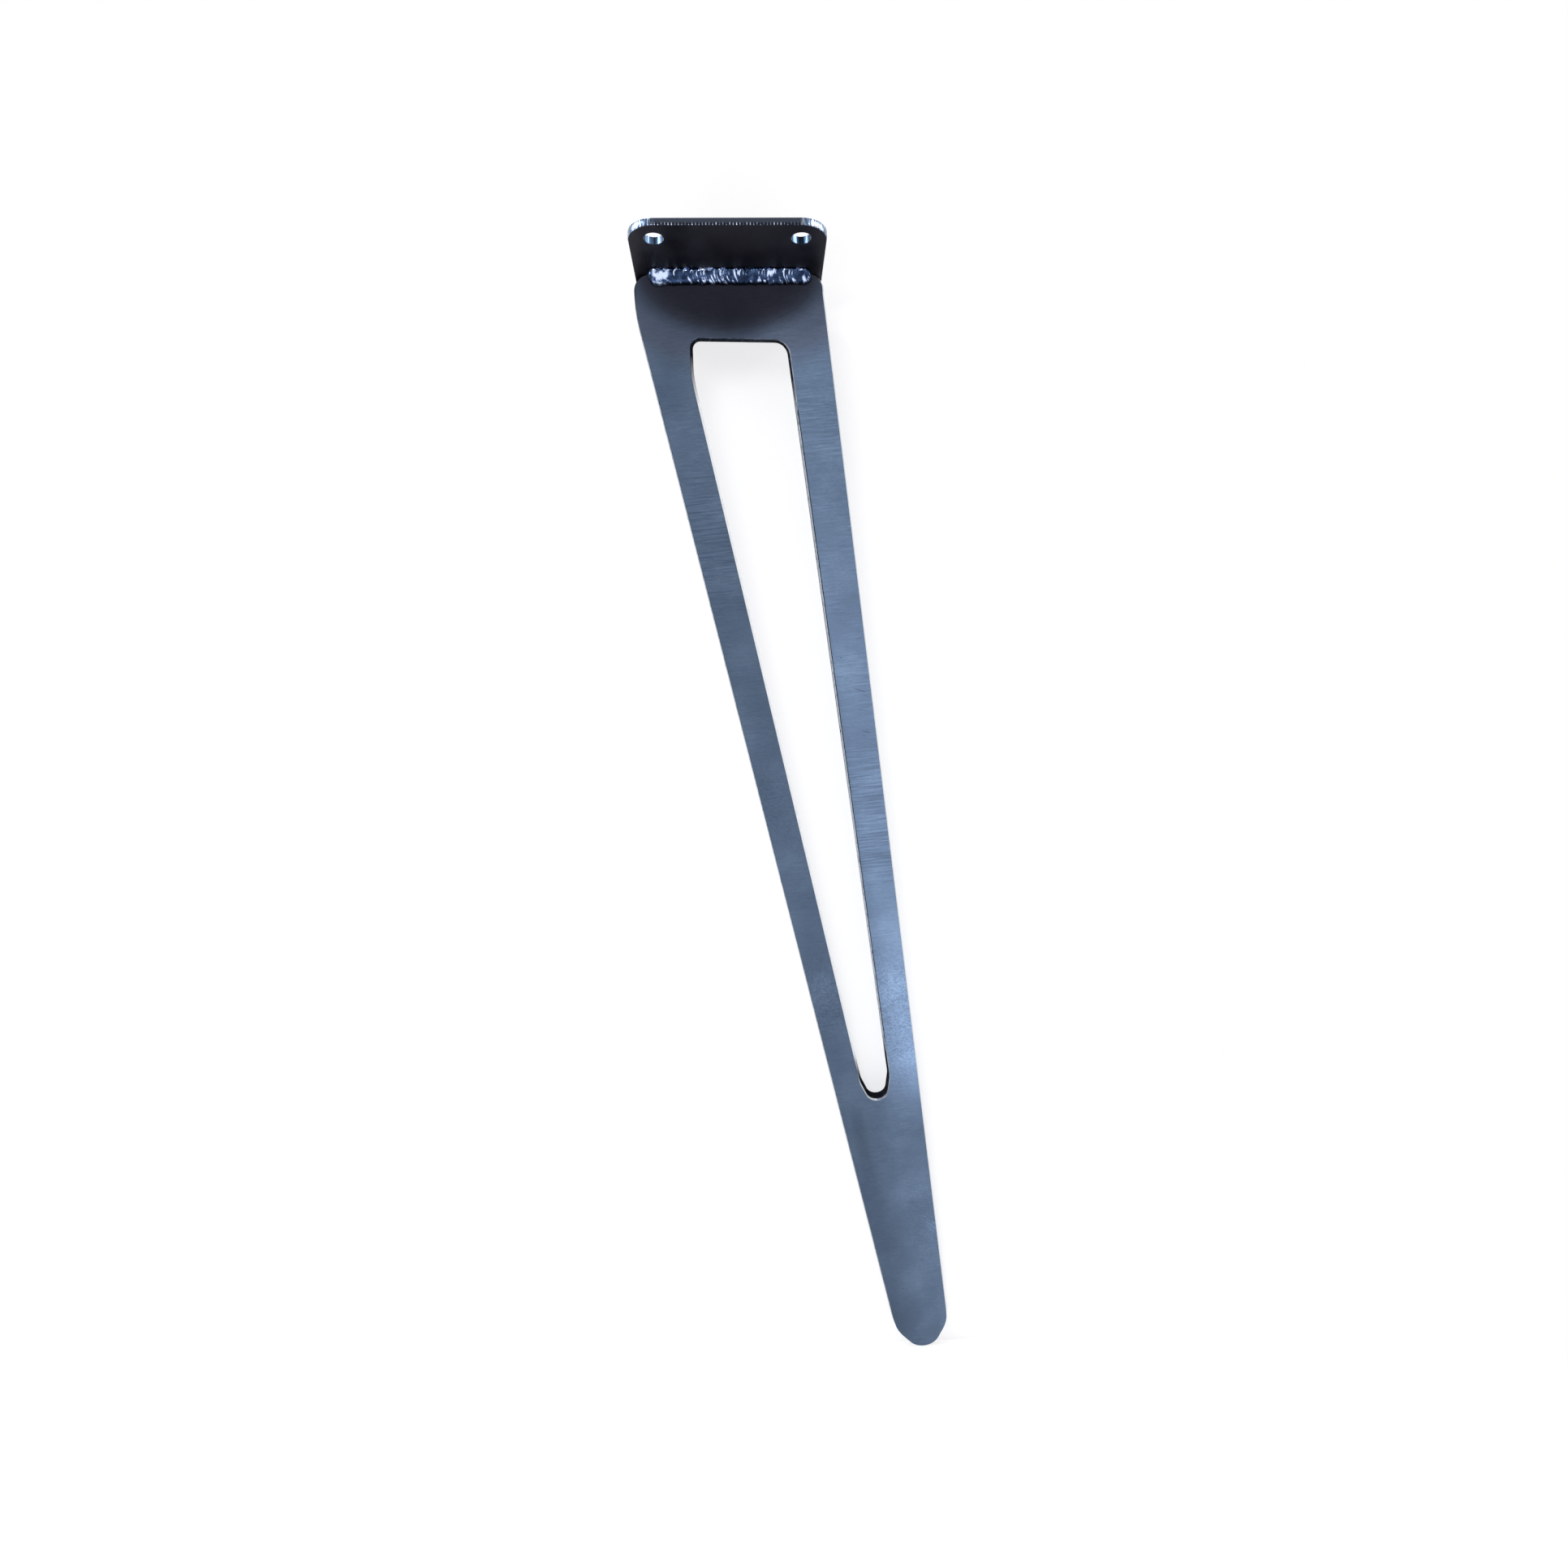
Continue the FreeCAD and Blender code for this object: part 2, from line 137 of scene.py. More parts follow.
class Nodes:
    """Node tree of a material or of the world, built up node by node."""

    def __init__(self, owner: bpy.types.World | str) -> None:
        """Start with an empty tree.

        Args:
            owner: World that the tree belongs to, or the name of a new material.
        """
        self.owner = bpy.data.materials.new(owner) if isinstance(owner, str) else owner
        self.owner.use_nodes = True
        self.tree = self.owner.node_tree
        self.tree.nodes.clear()

    def add(self, kind: str, feeds: Any = (), **settings: Any) -> Node:
        """Add a node, with its settings and what feeds it.

        Args:
            kind: Node type without the word ShaderNode, and then its operation if it has one.
            feeds: What the inputs in use take, in their order or by name: a value, an output
                socket, or a node, which stands for its first output in use.
            settings: Properties of the node. A ramp's stops are places with hex colours, or
                with numbers for a curve.

        Returns:
            The new node.
        """
        kind, *operation = kind.split()
        node = self.tree.nodes.new("ShaderNode" + kind)
        if operation:
            node.operation = operation[0]
        stops = list(settings.pop("stops", ()))
        for name, value in settings.items():
            setattr(node, name, value)
        for number, (place, shade) in enumerate(stops):
            elements = node.color_ramp.elements
            element = elements[number] if number < 2 else elements.new(1.0)
            element.position = place
            element.color = linear(shade) if isinstance(shade, str) else (shade,) * 3 + (1.0,)
        if isinstance(feeds, dict):
            pairs = [(node.inputs[name], value) for name, value in feeds.items()]
        else:
            pairs = list(zip([socket for socket in node.inputs if socket.enabled], feeds))
        for target, value in pairs:
            if isinstance(value, Node):
                value = next(socket for socket in value.outputs if socket.enabled)
            if isinstance(value, bpy.types.NodeSocket):
                self.tree.links.new(value, target)
            else:
                target.default_value = value
        return node

    def place(self, lean: float = 0.0) -> Node:
        """Add Object coordinates in millimetres, turned upright from a lean to the rear."""
        return self.add("Mapping", {"Vector": self.add("TexCoord").outputs["Object"],
                                    "Rotation": (-lean, 0, 0), "Scale": (1 / MM,) * 3})

    def noise(self, place: Node, pitch: Point, detail: float) -> Node:
        """Add noise whose grains have their own length along each axis.

        Args:
            place: Coordinates in millimetres.
            pitch: Length of a grain along each axis.
            detail: Octaves of the noise.

        Returns:
            The noise, from 0 to 1.
        """
        scaled = self.add("Mapping", {"Vector": place, "Scale": [1 / length for length in pitch]})
        return self.add("TexNoise", (scaled, 1.0, detail))

    def run_mask(self, place: Any, run: Run) -> Node:
        """Add a mask that is 1 along a run and fades at both ends.

        Args:
            place: Place along an axis.
            run: Where the mask starts, is full, fades and ends.

        Returns:
            The mask, from 0 to 1.
        """
        start, full, fade, end = run
        return self.add("Math MULTIPLY", (self.add("MapRange", (place, start, full)),
                                          self.add("MapRange", (place, fade, end, 1.0, 0.0))))

    def seen(self) -> Node:
        """Add a switch for what the camera and the metal's reflections see.

        Returns:
            The switch: 1 for those rays and 0 for the others.
        """
        rays = self.add("LightPath").outputs
        mirrored = self.add("Math MAXIMUM", (rays["Is Glossy Ray"], rays["Is Transmission Ray"]))
        return self.add("Math MAXIMUM", (rays["Is Camera Ray"], mirrored))

    def metal(self, inputs: dict[str, Any], bump: tuple[Any, float, float] | None = None
              ) -> Material:
        """Add a metal's shader, fully metallic unless its inputs say otherwise.

        Args:
            inputs: What the shader's inputs take, by name.
            bump: Pattern of a fine relief, its strength and its depth in millimetres.

        Returns:
            The finished material.
        """
        if bump:
            inputs["Normal"] = self.add("Bump", {"Height": bump[0], "Strength": bump[1],
                                                 "Distance": bump[2] * MM})
        shader = self.add("BsdfPrincipled", {"Metallic": 1.0, **inputs})
        self.add("OutputMaterial", (shader,))
        return self.owner


@dataclass(frozen=True)
class Mark:
    """Single scratch, pit or patch in the blade's front: a long or round spot with soft ends.

    The slope is in degrees falling to the right, and the strength is what it adds to the gain.
    It is full up to 0.4 of its half sizes, and gone at its rim.
    """

    across: float
    drop: float
    half_length: float
    slope: float
    half_width: float
    strength: float

    def add_to(self, nodes: Nodes, along: Node) -> Node:
        """Add the mark to a material.

        Args:
            nodes: Node tree that gets the mark.
            along: Coordinates across and down the blade.

        Returns:
            What the mark adds to the colour's gain, 0 outside it.
        """
        inside = nodes.add("Mapping", {
            "Vector": along, "Location": (self.across, -BLADE_THICKNESS / 2, -self.drop),
            "Rotation": (0, math.radians(self.slope), 0),
            "Scale": (self.half_length, BLADE_THICKNESS / 2, self.half_width)},
            vector_type="TEXTURE")
        distance = nodes.add("VectorMath LENGTH", (inside,))
        return nodes.add("MapRange", (distance, 0.4, 1.0, self.strength, 0.0))


@dataclass(frozen=True)
class SandedSteel:
    """Hot-rolled plate, belt-sanded across its length.

    The belt leaves fine lines across the prongs and a blue-grey sheen with soft mottling. Near
    the welds a nearly black tint fades out down the blade: oxide from the welding, and painted
    shade under the plate. Painted light makes the right prong and the foot lighter.
    """

    name: str = "belt_sanded_steel"
    shades: tuple[str, ...] = ("#4d5c72", "#5a6b83", "#6c7f98")
    # Painted light on the right prong, down the blade, with a painted highlight at drops of about
    # 420 to 540.
    right_light_down: Curve = (
        (0.0, 0.0296), (0.06, 0.3916), (0.11, 0.3005), (0.16, 0.2705), (0.3, 0.4793),
        (0.44, 0.4621), (0.53, 0.4179), (0.6, 0.6584), (0.66, 0.8714), (0.72, 0.956),
        (0.77, 0.2623), (0.8, 0.0648), (1.0, 0.0452))
    # Painted light and shade down the blade: darkest under the plate, lighter towards the foot.
    light_down_blade: Curve = (
        (0.0, 0.4072), (0.065, 0.4508), (0.085, 0.4851), (0.115, 0.5906), (0.17, 0.6172),
        (0.36, 0.6172), (0.53, 0.6939), (0.71, 0.6724), (0.88, 0.7835), (1.0, 0.807))
    gain_length: float = 700.0
    gain: float = 1.2
    # Painted light on the right prong: range to the right of the middle line, and what it adds to
    # the gain.
    right_light_across: tuple[float, ...] = (-6.0, 22.0, 0.0, 2.0)
    foot_left: tuple[float, ...] = (-18.0, 2.0, -0.26, 0.0)
    foot_drop: tuple[float, ...] = (500.0, 560.0)
    # Nearly black near the plate, fading down the blade: oxide from the welding, and painted
    # shade under the plate.
    heat_and_shade_tint: Stops = (
        (0.0, "#7c6a69"), (0.36, "#7c6a69"), (0.41, "#827370"), (0.44, "#8e7f7c"),
        (0.475, "#9d8e8c"), (0.523, "#bfb7b5"), (0.583, "#e7dad8"), (0.725, "#f7e9e6"),
        (0.91, "#ffffff"))
    heat_and_shade_reach: tuple[float, float] = (100.0, 60.0)
    # Real grit lines are about 0.1 mm wide, and are drawn coarser so that they show.
    line_pitch: Point = (9.0, 4.0, 0.8)
    grit_pitch: Point = (2.4, 2.0, 0.45)
    mottle_pitch: Point = (30.0, 30.0, 30.0)
    patch_pitch: Point = (14.0, 14.0, 20.0)
    stroke_pitch: Point = (24.0, 6.0, 1.0)
    speck_pitch: Point = (1.2, 1.2, 0.9)
    belt_slope: float = math.radians(5.0)
    belt_marks: tuple[tuple[float, float, Prong, float], ...] = (
        (95.0, 195.0, Prong.LEFT, 0.13), (55.0, 100.0, Prong.RIGHT, 0.12),
        (200.0, 262.0, Prong.RIGHT, 0.08), (255.0, 385.0, Prong.RIGHT, 0.2))
    rubbed: tuple[tuple[float, float, Prong, float], ...] = (
        (400.0, 535.0, Prong.RIGHT, 0.22), (415.0, 490.0, Prong.LEFT, 0.16),
        (270.0, 350.0, Prong.LEFT, 0.08), (590.0, 700.0, Prong.RIGHT, 0.1))
    # Scratches, pits and patches. The light scratches low on the foot, at drops of 615 to 662,
    # carry painted glints.
    marks: tuple[Mark, ...] = (
        Mark(75.0, 234.5, 6.2, 20.0, 0.5, -0.42), Mark(79.0, 238.5, 3.5, 22.0, 0.35, -0.25),
        Mark(77.5, 247.5, 5.5, 13.0, 0.45, -0.22), Mark(79.5, 261.5, 4.2, 12.0, 0.5, -0.35),
        Mark(78.0, 264.0, 2.4, 14.0, 0.35, -0.2), Mark(54.6, 68.5, 5.5, 10.0, 0.4, -0.22),
        Mark(55.5, 58.0, 5.0, 12.0, 0.35, -0.2), Mark(56.6, 73.0, 1.6, 25.0, 0.6, 0.35),
        Mark(63.8, 105.6, 2.0, -32.0, 0.3, 0.5), Mark(67.2, 135.6, 2.3, -32.0, 0.35, 0.55),
        Mark(63.0, 214.0, 0.55, 0.0, 0.55, -0.6), Mark(115.8, 709.3, 0.7, 0.0, 0.7, -0.6),
        Mark(133.0, 643.5, 9.5, 36.0, 0.45, 0.4), Mark(134.5, 648.0, 8.0, 38.0, 0.4, 0.5),
        Mark(136.5, 654.5, 7.0, 42.0, 0.4, 0.35), Mark(138.0, 647.5, 4.5, 38.0, 0.8, 0.5),
        Mark(135.0, 641.0, 8.0, 33.0, 0.35, 0.3), Mark(138.5, 652.0, 4.5, 42.0, 0.5, 0.4),
        Mark(124.0, 634.0, 9.0, 30.0, 0.4, 0.2), Mark(117.5, 615.5, 7.0, 28.0, 0.4, 0.14),
        Mark(137.5, 662.0, 5.5, 46.0, 0.4, 0.25), Mark(129.5, 640.0, 7.0, 34.0, 0.35, 0.28),
        Mark(135.5, 650.0, 11.0, 42.0, 4.5, 0.2), Mark(140.0, 752.0, 14.0, -50.0, 11.0, -0.2),
        Mark(81.5, 572.0, 42.0, 79.0, 7.0, -0.16))

    def build(self) -> Material:
        """Make the material.

        Returns:
            The material.
        """
        nodes = Nodes(self.name)
        add = nodes.add
        along = nodes.place(BLADE_LEAN)
        sloped = add("Mapping", {"Vector": along, "Rotation": (0, self.belt_slope, 0)})
        lines = nodes.noise(sloped, self.line_pitch, 2.0)
        grit = nodes.noise(along, self.grit_pitch, 3.0)
        mottle = nodes.noise(along, self.mottle_pitch, 3.0)
        patches = nodes.noise(along, self.patch_pitch, 2.0)
        strokes = add("Math MULTIPLY_ADD", (add("MapRange", (lines, *NOISE_RANGE, -0.16, 0.16)),
                                            add("MapRange", (patches, 0.35, 0.65, 0.25, 1.0)),
                                            add("MapRange", (grit, *NOISE_RANGE, -0.12, 0.12))))
        tone = add("Math ADD", (add("MapRange", (mottle, *NOISE_RANGE, *NOISE_RANGE)), strokes))
        colour = add("ValToRGB", (tone,), stops=zip((0.0, 0.5, 1.0), self.shades))
        colour = add("VectorMath SCALE", (colour, self.add_gain(nodes, along, sloped)))
        # Oxide from the welding, with painted shade under the plate.
        reach_x, reach_drop = self.heat_and_shade_reach
        near = add("Mapping", {"Vector": along, "Scale": (1 / reach_x, 0, 1 / reach_drop)})
        distance = add("VectorMath LENGTH", (near,))
        heat_and_shade = add("ValToRGB", (distance,), stops=self.heat_and_shade_tint)
        return nodes.metal({
            "Base Color": add("Mix", (1.0, colour, heat_and_shade), data_type="RGBA",
                              blend_type="MULTIPLY"),
            "Roughness": add("MapRange", (lines, *NOISE_RANGE, 0.36, 0.46))},
            (add("Math ADD", (lines, grit)), 0.12, 0.04))

    def add_gain(self, nodes: Nodes, along: Node, sloped: Node) -> Node:
        """Add how bright the steel is: painted light on the right prong and towards the foot,
        painted shade under the plate and on the foot's left, and wear in places.

        Args:
            nodes: Node tree that gets the gain.
            along: Coordinates across and down the blade.
            sloped: The same, turned to the belt's strokes.

        Returns:
            Factor on the colour.
        """
        add = nodes.add
        x, _, z = add("SeparateXYZ", (along,)).outputs
        drop = add("Math MULTIPLY", (z, -1.0))
        off_axis = add("Math MULTIPLY_ADD", (z, math.tan(LEG_SLANT), x))
        share = add("Math DIVIDE", (drop, self.gain_length))
        foot_shade = add("Math MULTIPLY_ADD", (add("MapRange", (off_axis, *self.foot_left)),
                                               add("MapRange", (drop, *self.foot_drop)), 1.0))
        gain = add("Math MULTIPLY_ADD", (add("MapRange", (off_axis, *self.right_light_across)),
                                         add("ValToRGB", (share,), stops=self.right_light_down),
                                         foot_shade))
        wear = self.add_wear(nodes, along, sloped, drop, off_axis)
        for factor in (add("ValToRGB", (share,), stops=self.light_down_blade), self.gain, wear):
            gain = add("Math MULTIPLY", (gain, factor))
        return gain

    def add_wear(self, nodes: Nodes, along: Node, sloped: Node, drop: Node, off_axis: Node
                 ) -> Node:
        """Add the belt's coarse strokes, rubbed patches and single marks.

        Args:
            nodes: Node tree that gets the wear.
            along: Coordinates across and down the blade.
            sloped: The same, turned to the belt's strokes.
            drop: Drop below the plate.
            off_axis: Distance to the right of the blade's middle line.

        Returns:
            Factor on the colour, 1 where there is no wear.
        """
        add = nodes.add
        belt = nodes.noise(sloped, self.stroke_pitch, 1.0)
        belt = add("MapRange", (belt, 0.35, 0.65, -1.0, 1.0))
        specks = nodes.noise(along, self.speck_pitch, 4.0)
        specks = add("MapRange", (specks, 0.36, 0.64, -1.0, 1.0))
        wear: Any = 1.0
        for areas, pattern in ((self.belt_marks, belt), (self.rubbed, specks)):
            for start, end, prong, strength in areas:
                reach = (-4.0, 6.0) if prong is Prong.RIGHT else (4.0, -6.0)
                fade = (end - start) * 0.3
                on_prong = add("MapRange", (off_axis, *reach, 0.0, strength))
                run = nodes.run_mask(drop, (start, start + fade, end - fade, end))
                mask = add("Math MULTIPLY", (on_prong, run))
                wear = add("Math MULTIPLY_ADD", (pattern, mask, wear))
        for mark in self.marks:
            wear = add("Math ADD", (wear, mark.add_to(nodes, along)))
        return add("Math MAXIMUM", (wear, 0.15))


@dataclass(frozen=True)
class CutSteel:
    """Thermally cut wall of thick plate, with fine drag lines across the thickness.

    Along the straight runs the wall is drawn as mirroring metal where it catches the light:
    painted highlights, apart from dark bands by the two faces. Lines along the front rim are
    painted highlights too. Round the ends of the cut it keeps a dull and nearly black oxide.
    Runs are given as drops below the plate: where a run starts, is full, fades and ends.
    """

    name: str
    glint_run: Run
    rear_run: Run = (2000.0, 2001.0, 2002.0, 2003.0)
    rim_runs: tuple[Run, ...] = ()
    rim_depth: float = 0.4
    rim_fade: float = 0.8
    rim_line: tuple[float, float] = (0.35, 0.7)
    rear_depth: float = 2.6
    rear_fade: float = 0.6
    band_strength: float = 0.85
    specks: tuple[float, float] = (0.3, 0.42)
    oxide: tuple[str, ...] = ("#121318", "#1c2027", "#2b313b")
    glint_shades: tuple[str, ...] = ("#7c8696", "#a4acb8")
    drag_pitch: Point = (1.7, 60.0, 1.7)
    grain_pitch: Point = (3.0, 1.6, 3.0)

    def build(self) -> Material:
        """Make the material.

        Returns:
            The material.
        """
        nodes = Nodes(self.name)
        add = nodes.add
        along = nodes.place(BLADE_LEAN)
        drag = nodes.noise(along, self.drag_pitch, 2.0)
        grain = nodes.noise(along, self.grain_pitch, 3.0)
        _, y, z = add("SeparateXYZ", (along,)).outputs
        drop = add("Math MULTIPLY", (z, -1.0))
        depth = add("Math ADD", (y, BLADE_THICKNESS / 2))
        rim, back = self.rim_depth, BLADE_THICKNESS - self.rear_depth
        at_back = add("MapRange", (depth, back - self.rear_fade, back, 0.0, -self.band_strength))
        rear_band = add("Math MULTIPLY_ADD", (nodes.run_mask(drop, self.rear_run), at_back, 1.0))
        # Painted highlights: the wall is drawn as mirroring metal where it catches the light.
        glint_share = nodes.run_mask(drop, self.glint_run)
        for factor in (add("MapRange", (depth, rim, rim + self.rim_fade)), rear_band,
                       add("MapRange", (grain, *self.specks))):
            glint_share = add("Math MULTIPLY", (glint_share, factor))
        # Painted highlights in lines along the front rim.
        at_rim = add("MapRange", (depth, *self.rim_line, self.band_strength, 0.0))
        for run in self.rim_runs:
            lit = add("Math MULTIPLY", (nodes.run_mask(drop, run), at_rim))
            glint_share = add("Math MAXIMUM", (glint_share, lit))
        oxide = add("ValToRGB", (add("MapRange", (drag, 0.35, 0.7)),),
                    stops=zip((0.0, 0.6, 1.0), self.oxide))
        # Colour of the painted highlights.
        rubbed = add("ValToRGB", (add("MapRange", (grain, 0.4, 0.6)),),
                     stops=zip((0.0, 1.0), self.glint_shades))
        return nodes.metal({
            "Base Color": add("Mix", (glint_share, oxide, rubbed), data_type="RGBA"),
            "Metallic": glint_share, "Specular IOR Level": 0.0, "Roughness": 0.4},
            (drag, 0.4, 0.08))


@dataclass(frozen=True)
class MillScale:
    """Hot-rolled plate as it left the mill: a dark, faintly blue oxide with a dull sheen."""

    name: str = "mill_scale_steel"
    shades: tuple[str, ...] = ("#1e1e27", "#23232b", "#292932")
    mottle_pitch: Point = (14.0, 14.0, 14.0)
    grain_pitch: Point = (0.9, 0.9, 0.9)

    def build(self) -> Material:
        """Make the material.

        Returns:
            The material.
        """
        nodes = Nodes(self.name)
        add = nodes.add
        place = nodes.place()
        mottle = nodes.noise(place, self.mottle_pitch, 5.0)
        grain = nodes.noise(place, self.grain_pitch, 2.0)
        tone = add("Math ADD", (add("MapRange", (mottle, *NOISE_RANGE)),
                                add("MapRange", (grain, *NOISE_RANGE, -0.15, 0.15))))
        return nodes.metal({
            "Base Color": add("ValToRGB", (tone,), stops=zip((0.0, 0.5, 1.0), self.shades)),
            "Roughness": add("MapRange", (mottle, *NOISE_RANGE, 0.36, 0.55))},
            (grain, 0.25, 0.03))


@dataclass(frozen=True)
class GroovedEdge:
    """Torch-cut edge of the plate: smooth grey above, and glinting drag grooves below.

    Round the corners, where the torch slowed down, the edge is streaked and drawn bright: painted
    glare.
    """

    name: str = "torch_cut_plate_edge"
    band: str = "#3a404c"
    shades: tuple[str, ...] = ("#20222b", "#4a505e", "#c9d6ea")
    glint_shades: tuple[str, ...] = ("#272e3b", "#6c81a1", "#dfe9f8")
    band_end: float = 2.4
    quarter_run: float = 95.6
    corner_run: tuple[float, float] = (11.5, 7.0)
    streak: float = 0.8
    streak_slope: float = math.radians(25)

    def build(self) -> Material:
        """Make the material.

        Returns:
            The material.
        """
        nodes = Nodes(self.name)
        add = nodes.add
        wall = add("UVMap", uv_map="wall")
        run, drop, _ = add("SeparateXYZ", (wall,)).outputs
        phase = add("Math MULTIPLY", (run, 2 * math.pi / GROOVE_PITCH))
        wave = add("Math COSINE", (phase,))
        uneven = add("TexNoise", (wall, 0.45, 3.0))
        tick = add("Math MULTIPLY", (add("MapRange", (wave, 0.3, 0.9)),
                                     add("MapRange", (uneven, 0.35, 0.7, 0.2, 1.0))))
        grooved = add("ValToRGB", (tick,), stops=zip((0.0, 0.4, 1.0), self.shades))
        below = add("MapRange", (drop, self.band_end, self.band_end + 0.35))
        plain = add("Mix", (below, linear(self.band), grooved), data_type="RGBA")
        slanted = add("Mapping", {"Vector": wall, "Rotation": (0, 0, self.streak_slope),
                                  "Scale": (1 / self.streak, 0.12, 1)})
        streaks = add("MapRange", (add("TexNoise", (slanted, 1.0, 3.0)), 0.35, 0.65))
        glint_shades = add("ValToRGB", (streaks,), stops=zip((0.0, 0.5, 1.0), self.glint_shades))
        # Painted glare round the corners.
        in_quarter = add("Math MODULO", (run, self.quarter_run))
        from_corner = add("Math SUBTRACT", (in_quarter, self.quarter_run / 2))
        away = add("Math ABSOLUTE", (from_corner,))
        at_corner = add("MapRange", (away, *self.corner_run))
        return nodes.metal({"Base Color": add("Mix", (at_corner, plain, glint_shades), data_type="RGBA"),
                            "Roughness": 0.26})


@dataclass(frozen=True)
class DrilledSteel:
    """Bore wall as the drill left it: dark, with bright streaks where the flutes rubbed."""

    name: str = "drilled_steel"
    shades: tuple[str, ...] = ("#101822", "#27364c", "#5d7290")
    streak_pitch: Point = (2.2, 2.2, 30.0)
    ring_pitch: Point = (40.0, 40.0, 0.35)

    def build(self) -> Material:
        """Make the material.

        Returns:
            The material.
        """
        nodes = Nodes(self.name)
        place = nodes.place()
        rings = nodes.noise(place, self.ring_pitch, 2.0)
        streaks = nodes.add("MapRange", (nodes.noise(place, self.streak_pitch, 2.0), 0.35, 0.65))
        colour = nodes.add("ValToRGB", (streaks,), stops=zip((0.2, 0.6, 1.0), self.shades))
        return nodes.metal({"Base Color": colour, "Roughness": 0.22}, (rings, 0.3, 0.03))


@dataclass(frozen=True)
class FiledEdge:
    """Arris where a file took off the burr: bright in dashes, dull between them.

    The bright dashes at the slot's two ends are painted highlights. Where oxide covers the arris,
    its metal is 0 and it mirrors nothing.
    """

    name: str = "filed_arris"
    bright: str = "#b4c6dc"
    dull: str = "#3c4450"
    dash: float = 3.5
    metal: float = 1.0

    def build(self) -> Material:
        """Make the material.

        Returns:
            The material.
        """
        nodes = Nodes(self.name)
        dashes = nodes.noise(nodes.place(), (self.dash,) * 3, 3.0)
        colour = nodes.add("ValToRGB", (nodes.add("MapRange", (dashes, 0.4, 0.6)),),
                           stops=((0.0, self.dull), (1.0, self.bright)))
        return nodes.metal({"Base Color": colour, "Roughness": 0.3, "Metallic": self.metal,
                            "Specular IOR Level": 0.5 * self.metal})


@dataclass(frozen=True)
class WeldMetal:
    """Weld metal as it froze: blue-black oxide, with painted highlights along the ripples'
    crests.

    The ripples are crescents, about a wire's width apart. The first pool has painted highlights
    in blotches.
    """

    name: str = "frozen_weld_metal"
    shades: tuple[str, ...] = ("#151c2b", "#263551", "#435779")
    glint_shades: tuple[str, ...] = ("#60749e", "#c9d7f2")
    roughness: float = 0.14
    ripple_pitch: Point = (1.2, 8.0, 6.0)
    blotch_pitch: Point = (2.8, 2.8, 2.8)
    patch_pitch: Point = (3.5, 3.5, 3.5)
    bow: float = 2 / 9
    bow_middle: float = -6.2
    stretch_lift: float = 0.09
    half_length: float = 45.0
    first_pool: Run = (-41.8, -39.8, -33.2, -31.2)
    # Where along the bead the painted highlights gather, as a share.
    glint_stretches: Curve = (
        (-31.0, 0.0103), (-22.5, 0.0513), (-20.5, 0.3813), (-17.5, 0.2623), (-15.5, 1.0),
        (-2.0, 1.0), (-0.5, 0.2159), (2.0, 0.7913), (6.3, 0.7913), (7.8, 0.0723),
        (12.0, 0.2159), (16.0, 0.1714), (19.0, 0.0513), (20.5, 0.6939), (25.5, 0.6939),
        (26.8, 0.0513), (29.0, 0.7913), (35.0, 0.7913), (36.2, 0.0723), (37.7, 1.0),
        (40.5, 1.0), (42.0, 0.0723))

    def build(self) -> Material:
        """Make the material.

        Returns:
            The material.
        """
        nodes = Nodes(self.name)
        add = nodes.add
        place = nodes.place()
        x, y, z = add("SeparateXYZ", (place,)).outputs
        height = add("Math SUBTRACT", (z, self.bow_middle))
        square = add("Math MULTIPLY", (height, height))
        bowed_x = add("Math MULTIPLY_ADD", (square, -self.bow, x))
        bowed = add("CombineXYZ", (bowed_x, y, z))
        ripples = nodes.noise(bowed, self.ripple_pitch, 1.0)
        blotches = nodes.noise(bowed, self.blotch_pitch, 4.0)
        patches = nodes.noise(place, self.patch_pitch, 3.0)
        stretches = add("ValToRGB", (add("MapRange", (x, -self.half_length, self.half_length)),),
                        stops=[(spot / self.half_length / 2 + 0.5, share)
                               for spot, share in self.glint_stretches])
        crests, spots = (add("Math MULTIPLY_ADD", (stretches, self.stretch_lift, pattern))
                         for pattern in (ripples, blotches))
        glint_share: Any = 0.0
        # Painted highlights on the ripples' crests, the first pool and the edge by the plate.
        for area, pattern in (
                (add("MapRange", (crests, 0.56, 0.68)), add("MapRange", (spots, 0.44, 0.6))),
                (nodes.run_mask(x, self.first_pool), add("MapRange", (blotches, 0.38, 0.58))),
                (add("MapRange", (z, -5.4, -4.8)), add("MapRange", (spots, 0.54, 0.68)))):
            rubbed = add("Math MULTIPLY", (area, pattern))
            glint_share = add("Math MAXIMUM", (glint_share, rubbed))
        oxide = add("ValToRGB", (add("MapRange", (patches, *NOISE_RANGE)),),
                    stops=zip((0.0, 0.5, 1.0), self.shades))
        # Colour of the painted highlights.
        metal = add("ValToRGB", (glint_share,), stops=zip((0.3, 0.95), self.glint_shades))
        colour = add("Mix", (add("MapRange", (glint_share, 0.1, 0.5)), oxide, metal),
                     data_type="RGBA")
        return nodes.metal({"Base Color": colour, "Roughness": self.roughness})


def select_only(piece: Piece) -> None:
    """Make a piece the only selected and the active object.

    Args:
        piece: Piece that is selected.
    """
    bpy.ops.object.select_all(action="DESELECT")
    piece.select_set(True)
    bpy.context.view_layer.objects.active = piece


def add_primitive(operator: Callable[..., Any], **sizes: Any) -> Piece:
    """Add a primitive with nothing else selected.

    Args:
        operator: Operator that adds the primitive.
        sizes: What the operator is told.

    Returns:
        The new object.
    """
    bpy.ops.object.select_all(action="DESELECT")
    operator(**sizes)
    return bpy.context.object


